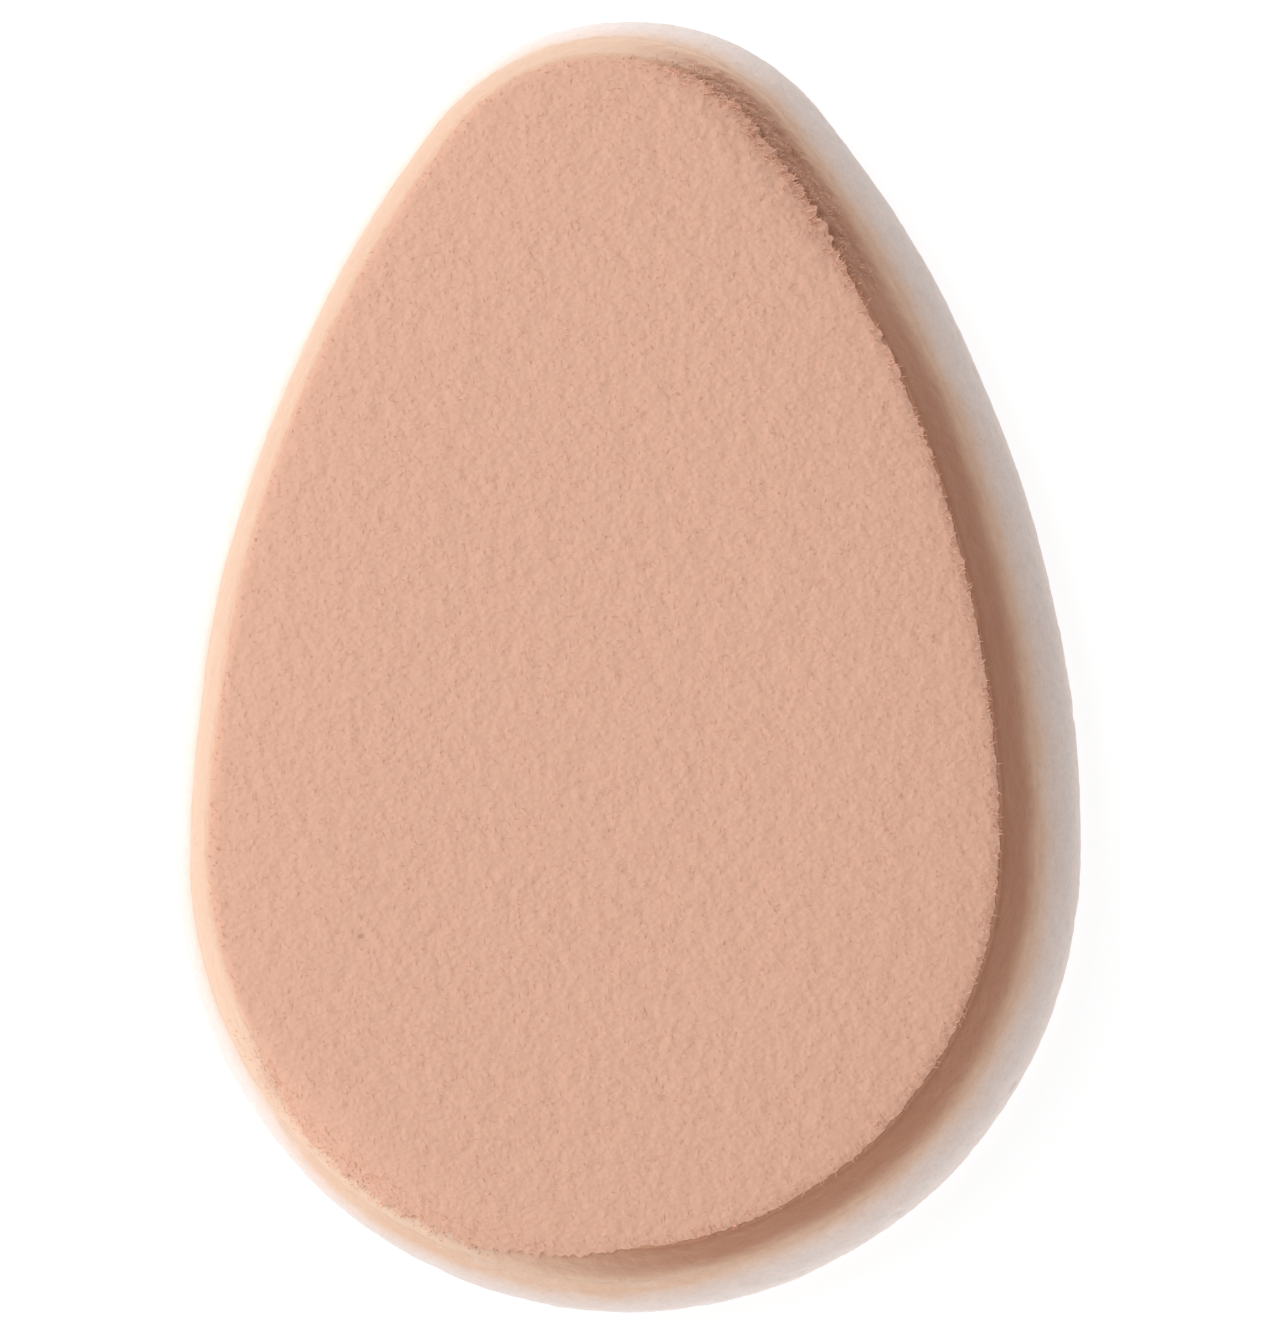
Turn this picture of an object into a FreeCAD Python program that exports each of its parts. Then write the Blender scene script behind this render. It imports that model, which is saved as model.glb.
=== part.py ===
import FreeCAD, Part
import os
from math import atan2, pi
import Sketcher

# A makeup sponge in millimetres: an egg-shaped pad of two bonded foams with a flocked working face.
# It lies flat on its white foam. +Z points up through the flocked face, +Y points to the narrow tip,
# and the origin is on the underside, in the middle of the outline's length and width.

document = FreeCAD.newDocument("makeup_sponge")

# Driving dimensions, one row each: name, value, what it measures
SIZES = (
    ("length", 64.0, "outline from the big end to the tip, at its widest level"),
    ("width", 45.0, "outline from side to side, also the diameter of the round big end"),
    ("tip_radius", 12.7, "radius of the narrow tip"),
    ("lower_foam_thickness", 5.6, "white foam that the pad lies on"),
    ("bond_film_thickness", 0.1, "adhesive film between the two foams"),
    ("upper_foam_thickness", 2.8, "pink-beige foam under the flock"),
    ("flock_binder_thickness", 0.1, "adhesive coat that holds the flock"),
    ("flock_pile_height", 0.4, "upright fibres of the working face"),
    ("edge_inset", 3.6, "how far the working face stands in from the widest outline"),
    ("wall_height", 2.4, "level above the underside where the sloped edge meets the upright wall"),
    ("shoulder_radius", 5.0, "rounding between the sloped edge and the upright wall"),
    ("foot_radius", 1.0, "rounding of the lower rim"),
)

sheet = document.addObject("Spreadsheet::Sheet", "Sizes")
for row, (alias, value, meaning) in enumerate(SIZES, start=1):
    sheet.set(f"A{row}", alias)
    sheet.set(f"B{row}", str(value))
    sheet.set(f"C{row}", meaning)
    sheet.setAlias(f"B{row}", alias)
document.recompute()

# The layers from the underside up: label, and the size that gives its thickness
LAYERS = (
    ("lower_foam", "Sizes.lower_foam_thickness"),
    ("bond_film", "Sizes.bond_film_thickness"),
    ("upper_foam", "Sizes.upper_foam_thickness"),
    ("flock_binder", "Sizes.flock_binder_thickness"),
    ("flock_pile", "Sizes.flock_pile_height"),
)

# Worked-out measures of the edge, as expressions on the sheet
TOTAL_THICKNESS = " + ".join(thickness for label, thickness in LAYERS)
SLOPE_HEIGHT = f"({TOTAL_THICKNESS} - Sizes.wall_height)"
SLOPE_LENGTH = f"sqrt({SLOPE_HEIGHT}^2 + Sizes.edge_inset^2)"
TAN_HALF_LEAN = f"(({SLOPE_LENGTH} - {SLOPE_HEIGHT}) / Sizes.edge_inset)"
# The foot's rounding leaves at least half of the wall, and the shoulder's takes radius * tan(half the lean)
# of what is left, less a sliver so that the two never meet.
WALL_SHARE = 0.95
FOOT_ROUNDING = "min(Sizes.foot_radius; Sizes.wall_height / 2)"
SHOULDER_ROOM = f"{WALL_SHARE} * (Sizes.wall_height - {FOOT_ROUNDING}) / {TAN_HALF_LEAN}"
SHOULDER_ROUNDING = f"min(Sizes.shoulder_radius; {SHOULDER_ROOM})"

# Ends and centre of an arc, and the sketch's own axes, as the sketcher numbers them
START, END, CENTRE = 1, 2, 3
Y_AXIS = -2
ORIGIN_POINT = (-1, 1)

LEVEL_TOLERANCE = 1e-6
VOLUME_TOLERANCE = 1e-4
SPREAD_TOLERANCE = 1e-4


def egg_arcs():
    """The outline counter-clockwise from its widest point on the right: side, tip, side, big end."""
    half_width = sheet.width / 2
    big_end_y = half_width - sheet.length / 2
    tip_y = sheet.length / 2 - sheet.tip_radius
    rise = tip_y - big_end_y
    # A side arc centred level with the big end touches it at the widest point and runs into the tip's arc.
    side_radius = (rise**2 / (half_width - sheet.tip_radius) + half_width + sheet.tip_radius) / 2
    side_x = side_radius - half_width
    turn = atan2(rise, side_x)

    def arc(x, y, radius, start, end):
        circle = Part.Circle(FreeCAD.Vector(x, y, 0), FreeCAD.Vector(0, 0, 1), radius)
        return Part.ArcOfCircle(circle, start, end)

    return [
        arc(-side_x, big_end_y, side_radius, 0, turn),
        arc(0, tip_y, sheet.tip_radius, turn, pi - turn),
        arc(side_x, big_end_y, side_radius, pi - turn, pi),
        arc(0, big_end_y, half_width, pi, 2 * pi),
    ]


def draw_outline(body):
    """The egg at its widest level, as a sketch on the underside."""
    sketch = body.newObject("Sketcher::SketchObject", "widest_outline")
    underside = next(plane for plane in body.Origin.OriginFeatures if plane.Role == "XY_Plane")
    sketch.AttachmentSupport = [(underside, "")]
    sketch.MapMode = "FlatFace"
    right_side, tip, left_side, big_end = sketch.addGeometry(egg_arcs(), False)

    # Each arc runs smoothly into the next.
    ring = (right_side, tip, left_side, big_end)
    for arc, next_arc in zip(ring, ring[1:] + ring[:1]):
        sketch.addConstraint(Sketcher.Constraint("Tangent", arc, END, next_arc, START))
    # The tip and the big end are centred on the long axis, and the big end is a half circle.
    for arc in (tip, big_end):
        sketch.addConstraint(Sketcher.Constraint("PointOnObject", arc, CENTRE, Y_AXIS))
    for end in (START, END):
        sketch.addConstraint(Sketcher.Constraint("Horizontal", big_end, end, big_end, CENTRE))

    driven = (
        ("big_end_diameter", "Sizes.width", "Diameter", big_end),
        ("tip_rounding", "Sizes.tip_radius", "Radius", tip),
        (
            "big_end_below_middle",
            "(Sizes.length - Sizes.width) / 2",
            "DistanceY",
            big_end,
            CENTRE,
            *ORIGIN_POINT,
        ),
        (
            "tip_above_middle",
            "Sizes.length / 2 - Sizes.tip_radius",
            "DistanceY",
            *ORIGIN_POINT,
            tip,
            CENTRE,
        ),
    )
    for name, expression, kind, *places in driven:
        value = float(sheet.evalExpression(expression))
        number = sketch.addConstraint(Sketcher.Constraint(kind, *places, value))
        sketch.renameConstraint(number, name)
        sketch.setExpression(f"Constraints.{name}", expression)
    return sketch


def edges_at(feature, level):
    """Names of the feature's edges that lie flat at a level."""
    names = []
    for number, edge in enumerate(feature.Shape.Edges, start=1):
        heights = (edge.BoundBox.ZMin, edge.BoundBox.ZMax)
        if all(abs(height - level) < LEVEL_TOLERANCE for height in heights):
            names.append(f"Edge{number}")
    return names


def make_blank():
    """The bonded stack in one piece, cut to the egg outline and ground to its sloped edge."""
    body = document.addObject("PartDesign::Body", "ground_blank")
    cut_stack = body.newObject("PartDesign::Pad", "cut_stack")
    cut_stack.Profile = draw_outline(body)
    cut_stack.setExpression("Length", TOTAL_THICKNESS)
    document.recompute()

    sloped_edge = body.newObject("PartDesign::Chamfer", "sloped_edge")
    sloped_edge.Base = (cut_stack, edges_at(cut_stack, cut_stack.Length.Value))
    sloped_edge.ChamferType = "Two distances"
    sloped_edge.setExpression("Size", SLOPE_HEIGHT)
    sloped_edge.setExpression("Size2", "Sizes.edge_inset")
    document.recompute()

    shoulder = body.newObject("PartDesign::Fillet", "shoulder")
    shoulder.Base = (sloped_edge, edges_at(sloped_edge, sheet.wall_height))
    shoulder.setExpression("Radius", SHOULDER_ROUNDING)
    document.recompute()

    foot = body.newObject("PartDesign::Fillet", "foot")
    foot.Base = (shoulder, edges_at(shoulder, 0))
    foot.setExpression("Radius", FOOT_ROUNDING)
    document.recompute()
    return body


def make_layer(blank, label, bottom, thickness):
    """One layer: the ground blank between the heights where the layer begins and ends."""
    slab = document.addObject("Part::Box", f"{label}_slab")
    slab.setExpression("Length", "2 * Sizes.width")
    slab.setExpression("Width", "2 * Sizes.length")
    slab.setExpression("Height", thickness)
    slab.setExpression("Placement.Base.x", "-Sizes.width")
    slab.setExpression("Placement.Base.y", "-Sizes.length")
    slab.setExpression("Placement.Base.z", bottom)

    layer = document.addObject("Part::Common", label)
    layer.Label = label
    layer.Base = blank
    layer.Tool = slab
    return layer


blank = make_blank()
layers = []
bottom = "0"
for label, thickness in LAYERS:
    layers.append(make_layer(blank, label, bottom, thickness))
    bottom = f"{bottom} + {thickness}"
document.recompute()

# Every feature is sound and the layers fill the blank before anything is written.
for item in document.Objects:
    if "Invalid" in item.State or "Error" in item.State:
        raise RuntimeError(f"{item.Label} did not recompute: {item.State}")
for layer in layers:
    if layer.Shape.isNull() or not layer.Shape.isValid() or len(layer.Shape.Solids) != 1:
        raise RuntimeError(f"{layer.Label} is not one sound solid")
filled = sum(layer.Shape.Volume for layer in layers)
if abs(filled / blank.Shape.Volume - 1) > VOLUME_TOLERANCE:
    raise RuntimeError(f"the layers hold {filled:.2f} mm3 of {blank.Shape.Volume:.2f} mm3")
spread = blank.Shape.optimalBoundingBox(False).XLength
if abs(spread / sheet.width - 1) > SPREAD_TOLERANCE:
    raise RuntimeError(f"the blank is {spread:.3f} mm wide, not {sheet.width:.3f} mm")

os.makedirs("parts", exist_ok=True)
for layer in layers:
    layer.Shape.exportStep(f"parts/{layer.Label}.step")
    box = layer.Shape.optimalBoundingBox(False)
    print(
        f"{layer.Label}: {box.XLength:.2f} x {box.YLength:.2f} mm, "
        f"z {box.ZMin:.2f} to {box.ZMax:.2f} mm, {layer.Shape.Volume:.1f} mm3"
    )
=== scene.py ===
# %% [markdown]
# # A flocked makeup sponge
# A makeup sponge spreads powder or foundation. This one is a small pad, cut to an egg outline from two
# bonded foams, white below and pink-beige above. Its face is flocked: very short fibres stand upright in a
# thin coat of adhesive, which makes it feel like velvet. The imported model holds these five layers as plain
# solids at their real size. This lesson gives each layer its looks, in the same place and at the same size.

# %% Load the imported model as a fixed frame
import math

import bpy
import numpy as np
from mathutils import Matrix, Vector, noise
from mathutils.geometry import delaunay_2d_cdt


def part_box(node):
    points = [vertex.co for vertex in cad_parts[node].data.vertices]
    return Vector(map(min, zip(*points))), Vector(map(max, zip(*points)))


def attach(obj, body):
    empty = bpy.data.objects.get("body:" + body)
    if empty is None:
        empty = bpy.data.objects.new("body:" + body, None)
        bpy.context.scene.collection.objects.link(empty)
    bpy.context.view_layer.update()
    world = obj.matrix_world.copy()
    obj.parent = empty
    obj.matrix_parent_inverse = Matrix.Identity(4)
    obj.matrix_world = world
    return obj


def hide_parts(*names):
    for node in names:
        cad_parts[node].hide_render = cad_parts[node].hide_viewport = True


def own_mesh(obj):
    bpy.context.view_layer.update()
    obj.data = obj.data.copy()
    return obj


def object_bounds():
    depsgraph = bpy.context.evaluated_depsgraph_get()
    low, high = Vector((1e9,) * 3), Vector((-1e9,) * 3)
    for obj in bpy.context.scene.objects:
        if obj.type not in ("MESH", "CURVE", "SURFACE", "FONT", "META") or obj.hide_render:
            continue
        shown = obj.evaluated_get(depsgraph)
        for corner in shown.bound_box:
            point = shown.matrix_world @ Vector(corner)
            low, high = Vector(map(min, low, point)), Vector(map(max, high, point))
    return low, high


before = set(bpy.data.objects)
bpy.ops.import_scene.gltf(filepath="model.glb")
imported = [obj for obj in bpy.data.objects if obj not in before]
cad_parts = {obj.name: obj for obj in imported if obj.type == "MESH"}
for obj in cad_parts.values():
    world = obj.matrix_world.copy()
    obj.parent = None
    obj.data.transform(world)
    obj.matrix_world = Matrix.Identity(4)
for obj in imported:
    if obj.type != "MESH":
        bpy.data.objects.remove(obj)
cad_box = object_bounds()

MM = 0.001

# %% [markdown]
# ## Sizes of the pad
# The frame tells how long, wide and thick the pad is and at which heights its layers meet. The sloped edge
# is a straight cut, so two layers are enough to work out its slope. Only the roundings are written here,
# because a box can't tell them.

# %% Read the sizes from the frame
LAYER_NAMES = ("lower_foam", "bond_film", "upper_foam", "flock_binder", "flock_pile")
LAYERS = {name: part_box(name) for name in LAYER_NAMES}
BOTTOM = {name: low.z for name, (low, high) in LAYERS.items()}
TOP = {name: high.z for name, (low, high) in LAYERS.items()}
LENGTH = cad_box[1].y - cad_box[0].y
WIDTH = cad_box[1].x - cad_box[0].x
TIP_RADIUS = 12.7 * MM
SHOULDER_RADIUS = 5.0 * MM
FOOT_RADIUS = 1.0 * MM


def widest_inset(name):
    """How far a layer of the sloped edge stands in from the widest outline, at its lower rim."""
    low, high = LAYERS[name]
    return (LENGTH - (high.y - low.y)) / 2


SLOPE_RISE = BOTTOM["flock_pile"] - BOTTOM["upper_foam"]
SLOPE = (widest_inset("flock_pile") - widest_inset("upper_foam")) / SLOPE_RISE
WALL_HEIGHT = BOTTOM["upper_foam"] - widest_inset("upper_foam") / SLOPE
LEAN = math.atan(SLOPE)
print(f"pad {LENGTH / MM:.1f} x {WIDTH / MM:.1f} x {TOP['flock_pile'] / MM:.1f} mm")
print(f"the sloped edge leans in by {math.degrees(LEAN):.1f} degrees")

# %% [markdown]
# ## Camera
# The sponge is seen from almost straight above, from a little to its right and towards its big end, so the
# right and lower edges show more of their slope. A long lens at a short distance keeps the outline true.
# The camera's axes are worked out by cross products, because a camera that looks straight down has no
# natural upright.

# %% Place the camera
TILT_RIGHT = math.radians(8.93)
TILT_BACK = math.radians(4.5)
CAMERA_DISTANCE = 180.0 * MM
CAMERA_LENS = 99.3
NEAREST_SEEN = 10 * MM
CAMERA_AIM = Vector((1.15 * MM, -0.9 * MM, 4.5 * MM))


def add_object(name, data):
    """A new object in the scene."""
    new = bpy.data.objects.new(name, data)
    bpy.context.collection.objects.link(new)
    return new


towards_camera = Vector((
    math.sin(TILT_RIGHT) * math.cos(TILT_BACK),
    -math.sin(TILT_BACK),
    math.cos(TILT_RIGHT) * math.cos(TILT_BACK),
))
picture_right = Vector((0, 1, 0)).cross(towards_camera).normalized()
picture_up = towards_camera.cross(picture_right)
camera_data = bpy.data.cameras.new("camera")
camera_data.lens = CAMERA_LENS
camera_data.clip_start = NEAREST_SEEN
camera = add_object("camera", camera_data)
camera.rotation_euler = Matrix((picture_right, picture_up, towards_camera)).transposed().to_euler()
camera.location = CAMERA_AIM + towards_camera * CAMERA_DISTANCE
bpy.context.scene.camera = camera
bpy.context.scene.view_settings.view_transform = "Standard"
print("camera at", [round(x / MM, 1) for x in camera.location], "mm")

# %% [markdown]
# ## Helpers for node trees
# Shaders, the world and Geometry Nodes are all trees of nodes. Small helpers make a node, set its values
# and draw the links that come in, so that each tree below reads from top to bottom.


# %% Define the node helpers
def set_inputs(tree, node, inputs):
    """Gives each input a value, a link from an output, or a link from the first output of a node."""
    for name, value in inputs.items():
        if isinstance(value, bpy.types.Node):
            value = value.outputs[0]
        if isinstance(value, bpy.types.NodeSocket):
            tree.links.new(value, node.inputs[name])
        else:
            node.inputs[name].default_value = value


def put(tree, kind, inputs=None, **settings):
    """A new node with its settings and its inputs."""
    node = tree.nodes.new(kind)
    for name, value in settings.items():
        setattr(node, name, value)
    set_inputs(tree, node, inputs or {})
    return node


def calc(tree, operation, *terms):
    """A Math node, whose terms are numbers, outputs or nodes."""
    return put(tree, "ShaderNodeMath", dict(enumerate(terms)), operation=operation)


def remap(tree, value, source, target, shape="LINEAR"):
    """A Map Range node, which takes a value from one range to another."""
    labels = ("Value", "From Min", "From Max", "To Min", "To Max")
    inputs = dict(zip(labels, (value, *source, *target)))
    return put(tree, "ShaderNodeMapRange", inputs, interpolation_type=shape)


def seen_directly(tree):
    """1 for rays that show a background: from the camera, a gloss or a clear surface."""
    path = put(tree, "ShaderNodeLightPath").outputs
    seen = calc(tree, "MAXIMUM", path["Is Camera Ray"], path["Is Glossy Ray"])
    return calc(tree, "MAXIMUM", seen, path["Is Transmission Ray"])


# %% [markdown]
# ## Stage and light
# A product like this is photographed on a bright white table with one large soft lamp at its upper left and
# a weak one at the big end. The table throws light up at the edge, so the world is brightest just below the
# horizon, and the floor lets that light through. To the camera the floor and the world are white, and the
# floor keeps the sponge's soft shadow. From below, the floor is clear, so that the underside can be looked
# at.

# %% Make the floor, the world and the lamps
FLOOR_SIZE = 3.0
FLOOR_DROP = 0.05 * MM
FLOOR_COLOUR = (0.20, 0.20, 0.20, 1)
FLOOR_GLOW = 0.88
LIGHT_FROM_ABOVE = 0.22
LIGHT_FROM_TABLE = 1.37
LIGHT_FROM_BENEATH = 0.60
FILL_COLOUR = (1.0, 0.945, 0.915, 1)
# Where the world changes from one level to the next, from -1 straight below to 1 straight above
BENEATH_TO_TABLE = (-1.0, -0.5)
TABLE_TO_ABOVE = (-0.2, 0.2)
# Each lamp: name, direction round the pad and height in degrees, distance, width and level
LAMPS = (
    ("key_lamp", 149, 50, 0.60, 0.36, 0.865),
    ("big_end_lamp", 268, 25, 0.60, 0.36, 0.26),
)


def make_floor():
    """The table: white to the camera, open to light from below, and clear when seen from beneath."""
    mesh = bpy.data.meshes.new("floor")
    half = FLOOR_SIZE / 2
    corners = [(x, y, -FLOOR_DROP) for x, y in ((-half, -half), (half, -half), (half, half), (-half, half))]
    mesh.from_pydata(corners, [], [(0, 1, 2, 3)])
    floor = add_object("floor", mesh)
    floor.visible_diffuse = False
    floor.visible_shadow = False
    material = bpy.data.materials.new("white_table")
    material.use_nodes = True
    tree = material.node_tree
    tree.nodes.clear()
    shade = put(tree, "ShaderNodeBsdfDiffuse", {"Color": FLOOR_COLOUR})
    level = calc(tree, "MULTIPLY", seen_directly(tree), FLOOR_GLOW)
    glow = put(tree, "ShaderNodeEmission", {"Strength": level})
    table = put(tree, "ShaderNodeAddShader", {0: shade, 1: glow})
    clear = put(tree, "ShaderNodeBsdfTransparent")
    from_beneath = put(tree, "ShaderNodeNewGeometry").outputs["Backfacing"]
    both = put(tree, "ShaderNodeMixShader", {0: from_beneath, 1: table, 2: clear})
    put(tree, "ShaderNodeOutputMaterial", {"Surface": both})
    mesh.materials.append(material)


def make_world():
    """Soft light from all round, with white as the background."""
    world = bpy.data.worlds.new("studio")
    bpy.context.scene.world = world
    world.use_nodes = True
    tree = world.node_tree
    tree.nodes.clear()
    direction = put(tree, "ShaderNodeTexCoord").outputs["Generated"]
    height = put(tree, "ShaderNodeSeparateXYZ", {0: direction}).outputs["Z"]
    table = remap(tree, height, BENEATH_TO_TABLE, (LIGHT_FROM_BENEATH, LIGHT_FROM_TABLE), "SMOOTHSTEP")
    level = remap(tree, height, TABLE_TO_ABOVE, (table, LIGHT_FROM_ABOVE), "SMOOTHSTEP")
    light = put(tree, "ShaderNodeBackground", {"Color": FILL_COLOUR, "Strength": level})
    white = put(tree, "ShaderNodeBackground", {"Color": (1, 1, 1, 1), "Strength": 1.0})
    mix = put(tree, "ShaderNodeMixShader", {0: seen_directly(tree), 1: light, 2: white})
    put(tree, "ShaderNodeOutputWorld", {"Surface": mix})


def make_lamp(name, azimuth, elevation, distance, size, level):
    """A square soft lamp aimed at the pad. At level 1 a surface facing it renders in the colour it has."""
    data = bpy.data.lights.new(name, "AREA")
    data.size = size
    data.energy = level * (math.pi * distance) ** 2
    lamp = add_object(name, data)
    azimuth, elevation = math.radians(azimuth), math.radians(elevation)
    away = Vector((
        math.cos(azimuth) * math.cos(elevation),
        math.sin(azimuth) * math.cos(elevation),
        math.sin(elevation),
    ))
    lamp.location = away * distance
    lamp.rotation_euler = away.to_track_quat("Z", "Y").to_euler()
    lamp.visible_camera = False


make_floor()
make_world()
for row in LAMPS:
    make_lamp(*row)
print("stage with", len(LAMPS), "soft lamps")

# %% [markdown]
# ## The egg outline and the edge
# The outline is four arcs that run smoothly into each other: a half circle at the big end, two flat sides
# and the small tip. A ring at any height is the same egg, moved in by the inset of the edge at that height:
# a small rounding at the foot, a short upright wall, a large soft shoulder, and the straight slope up to
# the face.

# %% Define the outline and the profile of the edge
HALF_WIDTH = WIDTH / 2
BIG_END_Y = HALF_WIDTH - LENGTH / 2
TIP_Y = LENGTH / 2 - TIP_RADIUS
CENTRES_APART = TIP_Y - BIG_END_Y
SIDE_RADIUS = (CENTRES_APART**2 / (HALF_WIDTH - TIP_RADIUS) + HALF_WIDTH + TIP_RADIUS) / 2
SIDE_X = SIDE_RADIUS - HALF_WIDTH
TURN = math.atan2(CENTRES_APART, SIDE_X)
# Each arc: centre, radius, and the directions between which it faces outwards
ARCS = np.array([
    (-SIDE_X, BIG_END_Y, SIDE_RADIUS, 0, TURN),
    (0, TIP_Y, TIP_RADIUS, TURN, math.pi - TURN),
    (SIDE_X, BIG_END_Y, SIDE_RADIUS, math.pi - TURN, math.pi),
    (0, BIG_END_Y, HALF_WIDTH, math.pi, 2 * math.pi),
])
ARC_LENGTHS = ARCS[:, 2] * (ARCS[:, 4] - ARCS[:, 3])
SHOULDER_START = WALL_HEIGHT - SHOULDER_RADIUS * math.tan(LEAN / 2)
SHOULDER_END = SHOULDER_START + SHOULDER_RADIUS * math.sin(LEAN)


def egg_places(count):
    """Places evenly spaced along the outline: the arc's centre, its radius and the way outwards."""
    ends = np.cumsum(ARC_LENGTHS)
    stations = (np.arange(count) + 0.5) / count * ends[-1]
    which = np.searchsorted(ends, stations)
    arc = ARCS[which]
    facing = arc[:, 3] + (stations - ends[which] + ARC_LENGTHS[which]) / arc[:, 2]
    return arc[:, :2], arc[:, 2], np.column_stack([np.cos(facing), np.sin(facing)])


def depth_inside(flat):
    """How far points lie inside the widest outline, seen from above."""
    across = np.abs(flat[:, 0])
    along = flat[:, 1] - BIG_END_Y
    to_big_end = HALF_WIDTH - np.hypot(across, along)
    to_side = SIDE_RADIUS - np.hypot(across + SIDE_X, along)
    to_tip = TIP_RADIUS - np.hypot(across, flat[:, 1] - TIP_Y)
    near_tip = np.arctan2(along, across + SIDE_X) > TURN
    return np.where(along < 0, to_big_end, np.where(near_tip, to_tip, to_side))


def inset_at(height):
    """How far the edge stands in from the widest outline at a height."""
    if height < FOOT_RADIUS:
        return FOOT_RADIUS - math.sqrt(FOOT_RADIUS**2 - (FOOT_RADIUS - height) ** 2)
    if height < SHOULDER_START:
        return 0.0
    if height < SHOULDER_END:
        return SHOULDER_RADIUS - math.sqrt(SHOULDER_RADIUS**2 - (height - SHOULDER_START) ** 2)
    return SLOPE * (height - WALL_HEIGHT)


def at_height(flat, height):
    """Flat points at one height, or each at its own."""
    return np.column_stack([flat, np.zeros(len(flat)) + height])


def ring(places, inset, height):
    """One closed ring of points round the pad."""
    centre, radius, outwards = places
    return at_height(centre + outwards * (radius - inset)[:, None], height)


print(f"outline {np.sum(ARC_LENGTHS) / MM:.1f} mm round, sides of radius {SIDE_RADIUS / MM:.1f} mm")

# %% [markdown]
# ## Unevenness from grinding
# The edge of such a pad is ground on a soft wheel, so it is never quite even: there are long shallow waves,
# and small lumps where the wheel tore the foam. The same lumps run through all layers, because the stack
# was ground in one piece. Taking them from one function of the place keeps the layers flush where they
# meet.

# %% Define the unevenness
# Each row: how wide the lumps are, and how far they stand out
GRINDING = np.array([(7.0, 0.10), (1.6, 0.030), (0.55, 0.026), (0.32, 0.018)]) * MM
# Nicks in the upright wall: their size and depth, the lumps that become nicks, and where they die out upwards
NICK_SIZE = 0.6 * MM
NICK_DEPTH = 0.08 * MM
NICK_LUMPS = (0.3, 0.6)
NICK_END = (2.5 * MM, 4 * MM)
# Torn foam above the bond: its size and reach, the height over which it sets in, and its share where held
TORN_SIZE = 0.42 * MM
TORN_REACH = 0.13 * MM
TORN_RISE = 1.5 * MM
HELD_TEAR = 0.5
RUBBED_ROLL = 0.5
PATCH_SIZE = 0.42 * MM
PATCH_BORDER = (-0.15, 0.25)
# A zone fades in from the first place to the second, across and along the pad
RUBBED_ZONE = ((2 * MM, 6 * MM), (15 * MM, 21 * MM))
HELD_ZONE = ((6 * MM, -6 * MM), (-17 * MM, -23 * MM))


def lumps(points, size, seed):
    """Smooth random lumps about one size wide, from about -1 to 1."""
    shift = Vector((17.3, 5.9, 9.1)) * seed
    return np.array([noise.noise(Vector(point) / size + shift) for point in points])


def smooth_step(values, start, end):
    """0 at the start and before it, 1 at the end and beyond it, and a smooth change between."""
    share = np.clip((values - start) / (end - start), 0, 1)
    return share * share * (3 - 2 * share)


def in_zone(points, zone):
    """1 inside a zone and 0 elsewhere, with soft borders."""
    across, along = zone
    return smooth_step(points[:, 0], *across) * smooth_step(points[:, 1], *along)


def rubbed(points):
    """1 at the right of the tip, where the pad has been rubbed most, and 0 elsewhere."""
    return in_zone(points, RUBBED_ZONE)


def handled(points):
    """1 at the left of the big end, where the pad is held and its rim is rounder, and 0 elsewhere."""
    return in_zone(points, HELD_ZONE)


def rolled(points):
    """How far the flock rolls over the rim: where the pad is held or has been rubbed."""
    return np.maximum(handled(points), RUBBED_ROLL * rubbed(points))


def patches(points, seed):
    """Small ragged patches, 0 or 1 with soft borders."""
    return smooth_step(lumps(points, PATCH_SIZE, seed), *PATCH_BORDER)


def ground(points, outwards):
    """Ring points moved out or in by the unevenness of the ground edge, most where the pad was rubbed."""
    offset = sum(lumps(points, size, seed) * reach for seed, (size, reach) in enumerate(GRINDING))
    on_wall = 1 - smooth_step(points[:, 2], *NICK_END)
    offset -= NICK_DEPTH * smooth_step(lumps(points, NICK_SIZE, seed=15), *NICK_LUMPS) * on_wall
    torn = rubbed(points) + HELD_TEAR * handled(points)
    torn = torn * smooth_step(points[:, 2], BOTTOM["upper_foam"], BOTTOM["upper_foam"] + TORN_RISE)
    offset += lumps(points, TORN_SIZE, seed=14) * TORN_REACH * torn
    moved = points.copy()
    moved[:, :2] += outwards * offset[:, None]
    return moved


print(len(GRINDING), "sizes of lumps, nicks of", round(NICK_DEPTH / MM, 2), "mm")

# %% [markdown]
# ## The rounded rim
# The face is a low dome, a little higher in the middle, because the foam under it springs back. Where it
# would meet the sloped edge in a sharp corner, the pad is rounded, and most where it has been rubbed or
# held. All upper layers follow this rounding, so none of them pokes through another.

# %% Define the dome and the rim
DOME_RISE = 0.12 * MM
DOME_WIDTH = 8.0 * MM
DOME_DROP = 0.28 * MM
FALL_WIDTH = 2.5 * MM
FALL_DROP = 0.09 * MM
RIM_CUT = 0.6 * MM
RUBBED_CUT = 1.3 * MM
HANDLED_CUT = 1.9 * MM
FACE_MIDDLE = TOP["flock_pile"] + DOME_RISE


def face_height(depth):
    """Height of the face at a depth in from its edge: a gentle dome, steeper in the last millimetres."""
    gently = np.clip(1 - depth / DOME_WIDTH, 0, 1)
    more = np.clip(1 - depth / FALL_WIDTH, 0, 1)
    return FACE_MIDDLE - DOME_DROP * gently**2 - FALL_DROP * more**2


CORNER_HEIGHT = float(face_height(0))
CORNER_INSET = inset_at(CORNER_HEIGHT)


def rim_cut(points):
    """How far from the sharp corner the rounding starts, on the slope and on the face."""
    return RIM_CUT + (RUBBED_CUT - RIM_CUT) * rubbed(points) + (HANDLED_CUT - RIM_CUT) * handled(points)


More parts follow.
